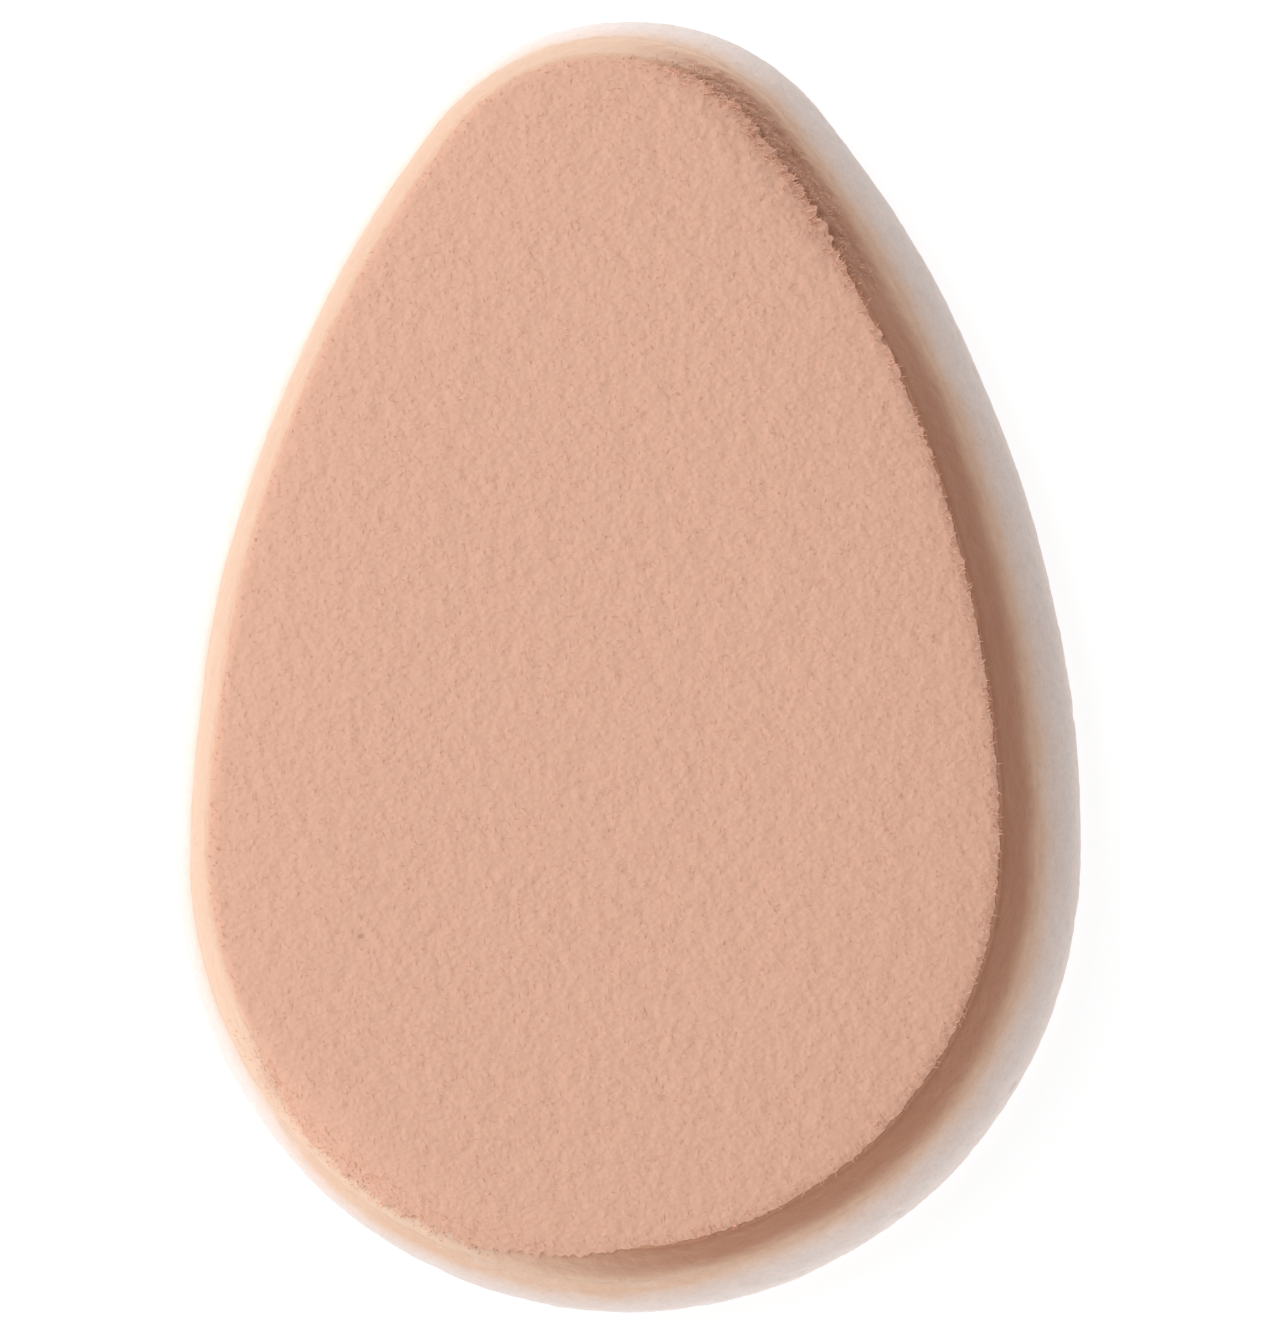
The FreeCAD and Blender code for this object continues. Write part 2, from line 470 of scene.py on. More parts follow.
def rim_ends(places):
    """Where the rounding leaves the slope and where it reaches the face, each as insets and heights."""
    cut = rim_cut(ring(places, CORNER_INSET, CORNER_HEIGHT))
    on_slope = (CORNER_INSET - cut * math.sin(LEAN), CORNER_HEIGHT - cut * math.cos(LEAN))
    on_face = (CORNER_INSET + cut, face_height(cut))
    return on_slope, on_face


def along_rim(places, share):
    """Insets and heights at a share of the way round the rim, from the slope to the face. A share below 0
    lies on the slope under the rim."""
    on_slope, on_face = rim_ends(places)
    corner = (CORNER_INSET, CORNER_HEIGHT)
    above = np.maximum(share, 0)
    below = np.minimum(share, 0)
    weights = ((1 - above) ** 2 - 2 * below, 2 * above * (1 - above) + 2 * below, above**2)
    return [weights[0] * a + weights[1] * b + weights[2] * c for a, b, c in zip(on_slope, corner, on_face)]


def rim_share(places, height):
    """The share of the way round the rim at a height, and 0 below the rim."""
    on_slope, on_face = rim_ends(places)
    curve = on_slope[1] - 2 * CORNER_HEIGHT + on_face[1]
    climb = 2 * (CORNER_HEIGHT - on_slope[1])
    left = np.maximum(height - on_slope[1], 0)
    return (np.sqrt(climb**2 + 4 * curve * left) - climb) / (2 * curve)


def edge_rings(count, heights):
    """Ground rings of the edge at several heights, rounded near the face, each with a count of points."""
    places = egg_places(count)
    rings = []
    for height in heights:
        share = rim_share(places, height)
        inset = np.where(share > 0, along_rim(places, share)[0], inset_at(height))
        rings.append(ground(ring(places, inset, height), places[2]))
    return rings


print(f"face {FACE_MIDDLE / MM:.2f} mm high in the middle, {CORNER_HEIGHT / MM:.2f} mm at its edge")

# %% [markdown]
# ## Closed layers
# Every layer is a closed mesh: rings for its edge, and a lid of even triangles above and below. A Delaunay
# triangulation fills a lid from its rim and a field of points inside, so the triangles are alike all over,
# with no pole in the middle where they would crowd.


# %% Define the layer builder
# A bend of more than this between two faces is a cut edge and isn't shaded round
RIM_ANGLE = math.radians(45)
# Share of a spacing that stays free between the rim of a lid and the points inside it
RIM_ROOM = 0.6
LID_TOLERANCE = 1e-6
HIDDEN_SPACING = 2.0 * MM
# Delaunay's number for keeping only the triangles inside the border
INSIDE_ONLY = 1


def field_inside(inset, spacing):
    """Points in a triangular pattern inside the outline moved in by inset, and clear of it."""
    row_step = spacing * math.sqrt(3) / 2
    rows = []
    for number, y in enumerate(np.arange(-LENGTH / 2, LENGTH / 2, row_step)):
        x = np.arange(-HALF_WIDTH, HALF_WIDTH, spacing) + (number % 2) * spacing / 2
        rows.append(np.column_stack([x, np.full(len(x), y)]))
    flat = np.concatenate(rows)
    return flat[depth_inside(flat) > inset + spacing * RIM_ROOM]


def lid(rim, field):
    """Triangles over a rim and the points inside it, as places in the two lists put together."""
    points = [Vector(point[:2]) / MM for point in np.concatenate([rim, field])]
    border = [(i, (i + 1) % len(rim)) for i in range(len(rim))]
    return delaunay_2d_cdt(points, border, [], INSIDE_ONLY, LID_TOLERANCE)[2]


def add_piece(name, mesh):
    """A piece of the pad in the scene."""
    print(name, len(mesh.vertices), "points", sum(len(p.vertices) - 2 for p in mesh.polygons), "triangles")
    return add_object(name, mesh)


def build_layer(name, material, rings, low_field, high_field):
    """A closed mesh through rings from low to high, with a lid of points below and above."""
    count = len(rings[0])
    points = np.concatenate([*rings, low_field, high_field])
    faces = []
    for level in range(len(rings) - 1):
        start = level * count
        for i in range(count):
            after = (i + 1) % count
            faces.append((start + i, start + after, start + count + after, start + count + i))
    ring_total = len(rings) * count
    low_end = ring_total + len(low_field)
    low_places = [*range(count), *range(ring_total, low_end)]
    high_places = [*range(ring_total - count, ring_total), *range(low_end, len(points))]
    faces += [[low_places[i] for i in reversed(face)] for face in lid(rings[0], low_field)]
    faces += [[high_places[i] for i in face] for face in lid(rings[-1], high_field)]
    mesh = bpy.data.meshes.new(name)
    mesh.from_pydata(points.tolist(), [], faces)
    mesh.polygons.foreach_set("use_smooth", [True] * len(mesh.polygons))
    mesh.update()
    mesh.set_sharp_from_angle(angle=RIM_ANGLE)
    mesh.materials.append(material)
    return add_piece(name, mesh)


def hidden_lids(*heights):
    """Coarse points for lids at heights where other layers cover them."""
    return [at_height(field_inside(inset_at(height), HIDDEN_SPACING), height) for height in heights]


def store(piece, name, values):
    """A value for each point of a mesh, which its material can read."""
    attribute = piece.data.attributes.new(name, "FLOAT", "POINT")
    attribute.data.foreach_set("value", np.asarray(values, np.float32))


def points_of(piece):
    """The points of a mesh as an array."""
    places = np.zeros(len(piece.data.vertices) * 3, np.float32)
    piece.data.vertices.foreach_get("co", places)
    return places.reshape(-1, 3)


# %% [markdown]
# ## Finishes
# The foams and the flock are matte, and what tells them apart is their grain: foam has fine round cells,
# and flock has small tufts where fibres lean the same way. Each grain is a node group that puts out a
# height and a tint. The materials below place it with their own values.


# %% Make the node groups
# Foam: how many soft lumps there are for each cell, and how far they rise against its hollow
LUMPS_PER_CELL = 0.35
LUMPS_RISE = 1.2
# Flock: the tufts are a little shorter along the pad than across it
TUFT_SHAPE = (1.0, 1.3, 1.0)


def new_group(name, inputs):
    """An empty group that puts out a height and a tint, what it is given, and the place on the object."""
    group = bpy.data.node_groups.new(name, "ShaderNodeTree")
    for label in inputs:
        group.interface.new_socket(label, in_out="INPUT", socket_type="NodeSocketFloat")
    for label in ("Height", "Tint"):
        group.interface.new_socket(label, in_out="OUTPUT", socket_type="NodeSocketFloat")
    given = put(group, "NodeGroupInput").outputs
    return group, given, put(group, "ShaderNodeTexCoord").outputs["Object"]


def give_grain(group, height, heights, tints):
    """Puts out a height, and a tint that follows it from its low to its high places."""
    put(group, "NodeGroupOutput", {"Height": height, "Tint": remap(group, height, heights, tints)})


def make_cell_group():
    """Fine foam cells: round hollows among soft lumps."""
    group, given, place = new_group("foam_cells", ("Scale", "Hollows"))
    cells = put(group, "ShaderNodeTexVoronoi", {"Vector": place, "Scale": given["Scale"]})
    hollow = remap(group, cells, (0.15, 0.6), (0.0, 1.0), "SMOOTHSTEP")
    scale = calc(group, "MULTIPLY", given["Scale"], LUMPS_PER_CELL)
    noise_inputs = {"Vector": place, "Scale": scale, "Detail": 3.0, "Roughness": 0.6}
    soft_lumps = put(group, "ShaderNodeTexNoise", noise_inputs)
    pitted = calc(group, "MULTIPLY", hollow, given["Hollows"])
    height = calc(group, "MULTIPLY_ADD", soft_lumps, LUMPS_RISE, pitted)
    give_grain(group, height, heights=(0.3, 1.2), tints=(0.93, 1.04))
    return group


def make_nap_group():
    """Fine nap: round tufts of fibres that lean together, among smaller streaks."""
    group, given, place = new_group("flock_nap", ("Scale", "Streaks"))
    broad = put(group, "ShaderNodeMapping", {"Vector": place, "Scale": TUFT_SHAPE})
    grain = {"Vector": broad, "Scale": given["Scale"]}
    tuft_inputs = {**grain, "Smoothness": 0.6}
    tufts = put(group, "ShaderNodeTexVoronoi", tuft_inputs, feature="SMOOTH_F1")
    streak_inputs = {**grain, "Detail": 2.0, "Roughness": 0.6, "Distortion": 0.4}
    streaks = put(group, "ShaderNodeTexNoise", streak_inputs)
    rise = calc(group, "SUBTRACT", 1.0, tufts)
    height = put(group, "ShaderNodeMix", {"Factor": given["Streaks"], "A": rise, "B": streaks})
    give_grain(group, height, heights=(0.35, 0.8), tints=(0.97, 1.03))
    return group


foam_cells = make_cell_group()
flock_nap_grain = make_nap_group()
print("node groups", foam_cells.name, flock_nap_grain.name)

# %% [markdown]
# ## Materials
# The pink-beige of the flock and of the foam under it comes from the same dye. Near the bond the two foams
# are pressed into the same adhesive, and there the pink fades into the white: painted light, a glow that
# stands in for light bleeding through the translucent foams. A value stored on the mesh, from 0 to 1, says
# how far the colour has faded, and it stays with the foam when the pad is pressed. At the left, the tip and
# the left of the big end the same value pales the foams and adhesives further, partly a smear from grinding
# and partly a painted highlight on the lit sides.

# %% Make the materials
FLOCK_COLOUR = (0.798, 0.470, 0.345, 1)
PINK_FOAM_COLOUR = (0.465, 0.205, 0.118, 1)
WHITE_FOAM_COLOUR = (0.905, 0.805, 0.770, 1)
BOND_COLOUR = (0.83, 0.555, 0.405, 1)
FIBRE_COLOUR = (0.800, 0.495, 0.370, 1)
BINDER_COLOUR = (0.56, 0.275, 0.175, 1)


def matte(name, looks):
    """A matte material with its looks, its tree and its Principled shader."""
    material = bpy.data.materials.new(name)
    material.use_nodes = True
    tree = material.node_tree
    shader = tree.nodes["Principled BSDF"]
    set_inputs(tree, shader, {"Roughness": 0.95, "Specular IOR Level": 0.15, **looks})
    return material, tree, shader


def tinted(tree, colour, tint):
    """A colour times a tint that changes over the surface."""
    return put(tree, "ShaderNodeVectorMath", {0: colour, "Scale": tint}, operation="SCALE")


def bump(tree, height, distance):
    """Fine relief from a height that changes over the surface."""
    return put(tree, "ShaderNodeBump", {"Distance": distance, "Height": height})


def show_cells(tree, shader, colour, scale, hollows, relief):
    """Gives a shader fine cells, and a colour that turns into the bond's where the stored fade rises to 1."""
    fade = put(tree, "ShaderNodeAttribute", attribute_name="fade").outputs["Fac"]
    mix = put(tree, "ShaderNodeMix", {"Factor": fade, "A": colour, "B": BOND_COLOUR}, data_type="RGBA")
    cells = put(tree, "ShaderNodeGroup", {"Scale": scale, "Hollows": hollows}, node_tree=foam_cells).outputs
    shown = tinted(tree, mix.outputs["Result"], cells["Tint"])
    set_inputs(tree, shader, {"Base Color": shown, "Normal": bump(tree, cells["Height"], relief)})


def make_foam(name, colour, glow_through, fuzz):
    """Foam with fine cells. Light that enters it comes out again within the distance glow_through, and its
    fuzz catches light where it is seen at a low angle."""
    looks = {
        "Sheen Weight": fuzz,
        "Sheen Tint": (1.0, 0.86, 0.74, 1),
        "Subsurface Weight": 0.5,
        "Subsurface Radius": (1.0, 0.85, 0.75),
        "Subsurface Scale": glow_through,
    }
    material, tree, shader = matte(name, looks)
    show_cells(tree, shader, colour, scale=4200.0, hollows=0.4, relief=0.022 * MM)
    return material


def make_adhesive(name, colour):
    """Dry adhesive, smoother than foam."""
    material, tree, shader = matte(name, {"Roughness": 0.8})
    show_cells(tree, shader, colour, scale=2400.0, hollows=0.5, relief=0.01 * MM)
    return material


def make_flock(name, colour, relief):
    """Flock, darker where the stored shade is lower. Single fibres have no relief."""
    looks = {"Sheen Weight": 0.12, "Sheen Tint": (1.0, 0.85, 0.76, 1)}
    material, tree, shader = matte(name, looks)
    grain = put(tree, "ShaderNodeGroup", {"Scale": 3400.0, "Streaks": 0.5}, node_tree=flock_nap_grain).outputs
    shade = put(tree, "ShaderNodeAttribute", attribute_name="shade").outputs["Fac"]
    tint = calc(tree, "MULTIPLY", grain["Tint"], shade)
    set_inputs(tree, shader, {"Base Color": tinted(tree, colour[:3], tint)})
    if relief:
        set_inputs(tree, shader, {"Normal": bump(tree, grain["Height"], relief)})
    return material


white_foam = make_foam("white_foam", WHITE_FOAM_COLOUR, glow_through=0.5 * MM, fuzz=0.0)
pink_foam = make_foam("pink_foam", PINK_FOAM_COLOUR, glow_through=0.3 * MM, fuzz=0.5)
bond_adhesive = make_adhesive("bond_adhesive", BOND_COLOUR)
flock_adhesive = make_adhesive("flock_adhesive", BINDER_COLOUR)
flock = make_flock("flock", FLOCK_COLOUR, relief=0.085 * MM)
flock_fibre = make_flock("flock_fibre", FIBRE_COLOUR, relief=0.0)
print("materials", [m.name for m in bpy.data.materials])

# %% [markdown]
# ## How the pad is pressed
# The press joint sinks the face towards the underside, and the bond sinks with it. The lower foam is fixed to
# the table and the upper foam to the flock. Each of them, and the fuzz, gets its own copy of its mesh here,
# but nothing flattens them.


def press_with_face(piece):
    """Gives the piece its own copy of its mesh; nothing flattens it here."""
    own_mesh(piece)


# %% [markdown]
# ## Lower foam
# The white foam is the thick, springy half of the pad. Its edge is ground round at the shoulder, and its
# underside is a cut face with pinholes where the knife opened larger cells. The pinholes are real hollows
# in the mesh, because they show in grazing light. The finest cells are left to the material.

# %% Build the lower foam
PINHOLE_SPACING = 1.1 * MM
PINHOLE_REACH = 0.26
PINHOLE_LEAST = 0.35
PINHOLE_DEPTH = 0.16 * MM
# Any number that isn't whole, so that neighbouring pinholes differ in size
SIZE_STRIDE = 7.7
UNDERSIDE_SPACING = 0.24 * MM
UNDERSIDE_LUMPS = 0.02 * MM
UNDERSIDE_LUMP_SIZE = 0.7 * MM
FOAM_PLACES = 1000
FOOT_RINGS = 6
LOWER_RINGS = 26
# How far the painted glow from the bond reaches down and up, how fast it fades, and its ragged border: size,
# reach, seed
WHITE_FADE_REACH = 3.0 * MM
PINK_FADE_REACH = 1.8 * MM
FADE_SHARPNESS = 2.4
FADE_RAGGED = ((0.6 * MM, 0.06, 5), (2.5 * MM, 0.10, 6))
# Where the painted glow spreads further down, and how far; where the foams and adhesives are paler, partly a
# smear and partly a painted highlight, and how far
PAINTED_GLOW_SPREAD = 0.9 * MM
PAINTED_GLOW_SPREAD_ZONE = ((9 * MM, -1 * MM), (-19 * MM, -27 * MM))
SMEAR_AND_HIGHLIGHT = 0.85
SMEAR_AND_HIGHLIGHT_ZONE = ((6 * MM, -10 * MM), (-17 * MM, -23 * MM))
# The left lies beyond a slanted line: the way across it, where it meets the long axis, and its soft width
LEFT_WAY = (-0.94, 0.34)
LEFT_LINE_Y = 10 * MM
LEFT_SOFT = 7 * MM
# How much narrower and weaker the painted glow on the white foam is at the left, which paints that lit side
# whiter as a painted highlight
LEFT_NARROWER = 0.15
LEFT_WEAKER = 0.3


def pinholes(points):
    """Depth of the opened cells at points, most of them shallow."""
    near = []
    for point in points:
        distances, centres = noise.voronoi(Vector(point) / PINHOLE_SPACING)
        share = abs(noise.cell(centres[0] * SIZE_STRIDE))
        size = PINHOLE_REACH * (PINHOLE_LEAST + (1 - PINHOLE_LEAST) * share)
        near.append(1 - distances[0] / size)
    return PINHOLE_DEPTH * smooth_step(np.array(near), 0, 1)


def fade_from(level, reach, points, spread=0.0):
    """1 at the bond's height, falling to 0 over the reach of the painted glow, ragged by the lumps of the
    foam. The spread is how much wider the full glow is."""
    ragged = sum(lumps(points, size, seed) * share for size, share, seed in FADE_RAGGED)
    away = np.maximum(np.abs(points[:, 2] - level) - spread, 0)
    share = np.clip(1 - away / reach + ragged, 0, 1)
    return share**FADE_SHARPNESS


def at_left(points):
    """1 at the left and the tip, and 0 elsewhere."""
    beyond = LEFT_WAY[0] * points[:, 0] + LEFT_WAY[1] * (points[:, 1] - LEFT_LINE_Y)
    return smooth_step(beyond, 0, LEFT_SOFT)


def smear_and_painted_highlight(points):
    """How far the foams and adhesives are painted paler, partly a smear from the wheel and partly a painted
    highlight: left, at the tip and left of the big end.
    """
    # Partly smear, partly a painted highlight where the light falls on the left, the tip and the big end.
    return SMEAR_AND_HIGHLIGHT * np.maximum(at_left(points), in_zone(points, SMEAR_AND_HIGHLIGHT_ZONE))


def build_lower_foam():
    """The white foam, with a painted glow of pink from the bond on its edge and pinholes in its underside."""
    foot = FOOT_RADIUS * (1 - np.cos(np.linspace(0, math.pi / 2, FOOT_RINGS, endpoint=False)))
    heights = np.concatenate([foot, np.linspace(FOOT_RADIUS, TOP["lower_foam"], LOWER_RINGS)])
    rings = edge_rings(FOAM_PLACES, heights)
    underside = at_height(field_inside(FOOT_RADIUS, UNDERSIDE_SPACING), 0.0)
    uneven = UNDERSIDE_LUMPS * (1 + lumps(underside, UNDERSIDE_LUMP_SIZE, seed=3))
    underside[:, 2] = pinholes(underside) + uneven
    piece = build_layer("lower_foam_pad", white_foam, rings, underside, *hidden_lids(TOP["lower_foam"]))
    points = points_of(piece)
    left = at_left(points)
    spread = PAINTED_GLOW_SPREAD * in_zone(points, PAINTED_GLOW_SPREAD_ZONE)
    # Painted glow: the pink fades into the white as light that bleeds through the foams.
    fade = fade_from(TOP["lower_foam"], WHITE_FADE_REACH * (1 - LEFT_NARROWER * left), points, spread)
    # Less glow at the left paints the lit side whiter: a painted highlight.
    store(piece, "fade", fade * (1 - LEFT_WEAKER * left))
    return piece


lower_foam_pad = build_lower_foam()
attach(lower_foam_pad, "base")
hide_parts("lower_foam")
press_with_face(lower_foam_pad)

# %% [markdown]
# ## Bond film and binder
# A thin sheet of flexible adhesive joins the two foams, and a thin coat of another one holds the flock on
# the upper foam. Only their edges show, as hairlines in the slope, so each is a thin closed layer with the
# same lumps as its neighbours.


# %% Build the bond film and the binder
THIN_PLACES = 800
THIN_RINGS = 3


def build_thin_layer(name, node, material):
    """An adhesive layer, painted paler like the foams beside it, partly smear and partly painted highlight.
    """
    low, high = BOTTOM[node], TOP[node]
    rings = edge_rings(THIN_PLACES, np.linspace(low, high, THIN_RINGS))
    piece = build_layer(name, material, rings, *hidden_lids(low, high))
    # Paler at the left and the ends: partly smear, partly a painted highlight.
    store(piece, "fade", smear_and_painted_highlight(points_of(piece)))
    return piece


bond_line = build_thin_layer("bond_line", "bond_film", bond_adhesive)
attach(bond_line, "bond")
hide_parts("bond_film")

binder_coat = build_thin_layer("binder_coat", "flock_binder", flock_adhesive)
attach(binder_coat, "face")
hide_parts("flock_binder")

# %% [markdown]
# ## Upper foam
# The pink-beige foam is the thin, soft half under the flock. Only its ground edge shows.


# %% Build the upper foam
UPPER_RINGS = 21
# How much weaker the paler smear and painted highlight are next to the flock
SMEAR_AND_HIGHLIGHT_WEAKER = 0.1
# Dust of the flock on the rubbed side: how far it pales the foam, and how far down it lies
FLOCK_SMEAR = 0.22
FLOCK_SMEAR_REACH = 1.6 * MM


def build_upper_foam():
    """The pink-beige foam, with a painted glow from the bond, paler patches of smear and painted highlight,
    and dust of the flock on its edge.
    """
    low, high = BOTTOM["upper_foam"], TOP["upper_foam"]
    rings = edge_rings(FOAM_PLACES, np.linspace(low, high, UPPER_RINGS))
    piece = build_layer("upper_foam_pad", pink_foam, rings, *hidden_lids(low, high))
    points = points_of(piece)
    heights = points[:, 2]
    # Painted glow: the pink foam pales towards the bond, as light that bleeds through the foams.
    fade = fade_from(low, PINK_FADE_REACH, points)
    # Paler at the left and the ends: partly smear, partly a painted highlight.
    fade += (1 - fade) * smear_and_painted_highlight(points) * (1 - SMEAR_AND_HIGHLIGHT_WEAKER * smooth_step(heights, low, high))
    near_flock = smooth_step(heights, high - FLOCK_SMEAR_REACH, high)
    flocked = rubbed(points) * patches(points, seed=11) * near_flock
    store(piece, "fade", np.maximum(fade, FLOCK_SMEAR * flocked))
    return piece


upper_foam_pad = build_upper_foam()
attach(upper_foam_pad, "face")
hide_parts("upper_foam")
press_with_face(upper_foam_pad)

# %% [markdown]
# ## Flocked face
# From a step away the flock is one soft skin that follows the dome and the rounded rim. Its own relief is a
# fine grain, where neighbouring fibres lean together, on shallow lumps. A few small pits are places where
# fibres are missing, and their dents are painted darker as shade. The worn rim at the tip is painted darker
# in patches, partly wear and partly painted shade.

# %% Build the nap
NAP_PLACES = 1200
NAP_RINGS = 12
NAP_SPACING = 0.16 * MM
# How far above the binder the nap starts on the edge
NAP_START = 0.05 * MM
# Relief: its height, and its sizes with their seeds
NAP_GRAIN = 0.036 * MM
GRAIN_SIZES = ((0.45 * MM, 7), (0.70 * MM, 8))
NAP_LUMPS = 0.030 * MM
NAP_LUMP_SIZE = 1.9 * MM
# The worn band in from the edge, how much stronger its grain, and how much darker it is painted, partly wear
# and partly painted shade
WORN_BAND = (0.6 * MM, 2.4 * MM)
RUBBED_GRAIN = 1.2
WORN_AND_PAINTED_SHADE = 0.05
# Tufts hang over the edge at the right, most in the half of the tip
OVERHANG = 0.15 * MM
OVERHANG_LEAST = 0.4
RIGHT_SIDE = (0, 6 * MM)
TIP_HALF = (0, 10 * MM)
# Where the flock rolls over the rim: how far round the rim its hem lies and how ragged it is, as shares of
# the rim, how wide the hem's tufts are, how thick the flock lies, and how far its lowest ring is in the foam
HEM = 0.1
HEM_RAGGED = 0.25
HEM_SIZE = 0.32 * MM
ROLL_THICKNESS = 0.15 * MM
HEM_INSIDE = 0.4 * MM
# How deep the pits are, and how much darker they are painted as shade in them
PIT_DEPTH = 0.12 * MM
PIT_PAINTED_SHADE = 0.3
# Bare spots in the flock, whose dents are painted darker as shade: place across, place along, radius
PITS = np.array([(-11.3, -13.8, 0.26), (9.6, 3.4, 0.16), (-4.1, 9.2, 0.14), (3.2, -21.4, 0.15)]) * MM


def nap_relief(points):
    """Height of the grain, lumps and bare spots of the nap, and how much darker they are painted: painted
    shade in the pits, and at the worn rim partly wear and partly painted shade.
    """
    at_rim = 1 - smooth_step(depth_inside(points[:, :2]) - CORNER_INSET, *WORN_BAND)
    worn = rubbed(points) * at_rim
    relief = NAP_GRAIN * sum(lumps(points, size, seed) for size, seed in GRAIN_SIZES)
    relief *= 1 + RUBBED_GRAIN * worn
    relief += NAP_LUMPS * lumps(points, NAP_LUMP_SIZE, seed=9)
    # Painted shade: the worn rim is darker in patches, partly wear, and the pits are darker as shade in their
    # dents.
    darker = WORN_AND_PAINTED_SHADE * worn * patches(points, seed=12)
    for x, y, radius in PITS:
        pit = smooth_step(1 - np.hypot(points[:, 0] - x, points[:, 1] - y) / radius, 0, 1)
        relief -= PIT_DEPTH * pit
        darker = np.maximum(darker, PIT_PAINTED_SHADE * pit)
    return relief, darker


def build_nap():
    """The flock as one skin with a hidden lid below, and for each point a 1 where fibres can grow."""
    places = egg_places(NAP_PLACES)
    outwards = places[2]
    low = BOTTOM["flock_pile"]
    corner = ring(places, CORNER_INSET, CORNER_HEIGHT)
    over = rolled(corner)
    start = rim_share(places, low + NAP_START)
    start += over * (HEM_RAGGED * lumps(corner, HEM_SIZE, seed=16) + HEM - start)
    rings = []
    shades = []
    for part in (0, *np.linspace(0, 1, NAP_RINGS)):
        share = start + (1 - start) * part
        inset, height = along_rim(places, share)
        points = ring(places, inset, height)
        # The lumps of the ground edge die out towards the face. The nap's relief stands out and up, and tufts
        # of it hang over the edge.
        on_edge = 1 - np.clip(share, 0, 1)
        points += (ground(points, outwards) - points) * on_edge[:, None]
        below_face = at_height(points[:, :2], height - along_rim(places, 1.0)[1])
        relief, worn = nap_relief(below_face)
        to_tip = OVERHANG_LEAST + (1 - OVERHANG_LEAST) * smooth_step(points[:, 1], *TIP_HALF)
        to_right = smooth_step(points[:, 0], *RIGHT_SIDE) * to_tip
        spread = OVERHANG * patches(below_face, seed=13) * to_right * (1 - part) ** 2
        standing_out = relief * on_edge + spread + ROLL_THICKNESS * over * np.sqrt(on_edge)
        points[:, :2] += outwards * standing_out[:, None]
        points[:, 2] += relief * (1 - on_edge)
        rings.append(points)
        # The worn rim is painted darker, partly wear and partly painted shade.
        shades.append(1 - worn)
    # The lowest ring lies inside the foam, as the border of the hidden underside.
    rings[0][:, :2] -= outwards * (HEM_INSIDE * over)[:, None]
    rings[0][:, 2] = np.minimum(rings[0][:, 2], low)
    field = field_inside(CORNER_INSET, NAP_SPACING)
    field = field[depth_inside(field) - CORNER_INSET > rim_cut(field) + RIM_ROOM * NAP_SPACING]
    face = at_height(field, 0.0)
    relief, darker = nap_relief(face)
    face[:, 2] = face_height(depth_inside(field) - CORNER_INSET) + relief
    (hidden,) = hidden_lids(low)
    piece = build_layer("flock_nap", flock, rings, hidden, face)
    # Pits and the worn rim are painted darker: painted shade, at the rim partly wear.
    store(piece, "shade", np.concatenate([*shades, np.ones(len(hidden)), 1 - darker]))
    outside = np.ones(len(piece.data.vertices))
    outside[:NAP_PLACES] = 0
    outside[len(rings) * NAP_PLACES :][: len(hidden)] = 0
    return piece, outside


flock_nap, outside = build_nap()
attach(flock_nap, "face")
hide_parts("flock_pile")

# %% [markdown]
# ## Fibres
# Single fibres show where the light grazes the face, and above all at its rim. They repeat thousands of
# times over a surface, which is work for Geometry Nodes: points are spread over the nap, and each gets a
# bent, tapered fibre with three sides. One tree serves the face, the rim and the ground side, with other
# values each time.


# %% Define the tree that scatters fibres
FIBRE_SIZES = (
    "Density", "Spacing", "Length", "Thickness", "Lean Along", "Lean Across", "Darkest", "Palest", "Seed"
)
# A fibre of unit height: how far its tip bends aside against its thickness, and how deep its root sits
FIBRE_BEND = 3.0
FIBRE_ROOT = -0.15
# Shortest and longest fibre against the length given
FIBRE_LENGTHS = (0.6, 1.25)


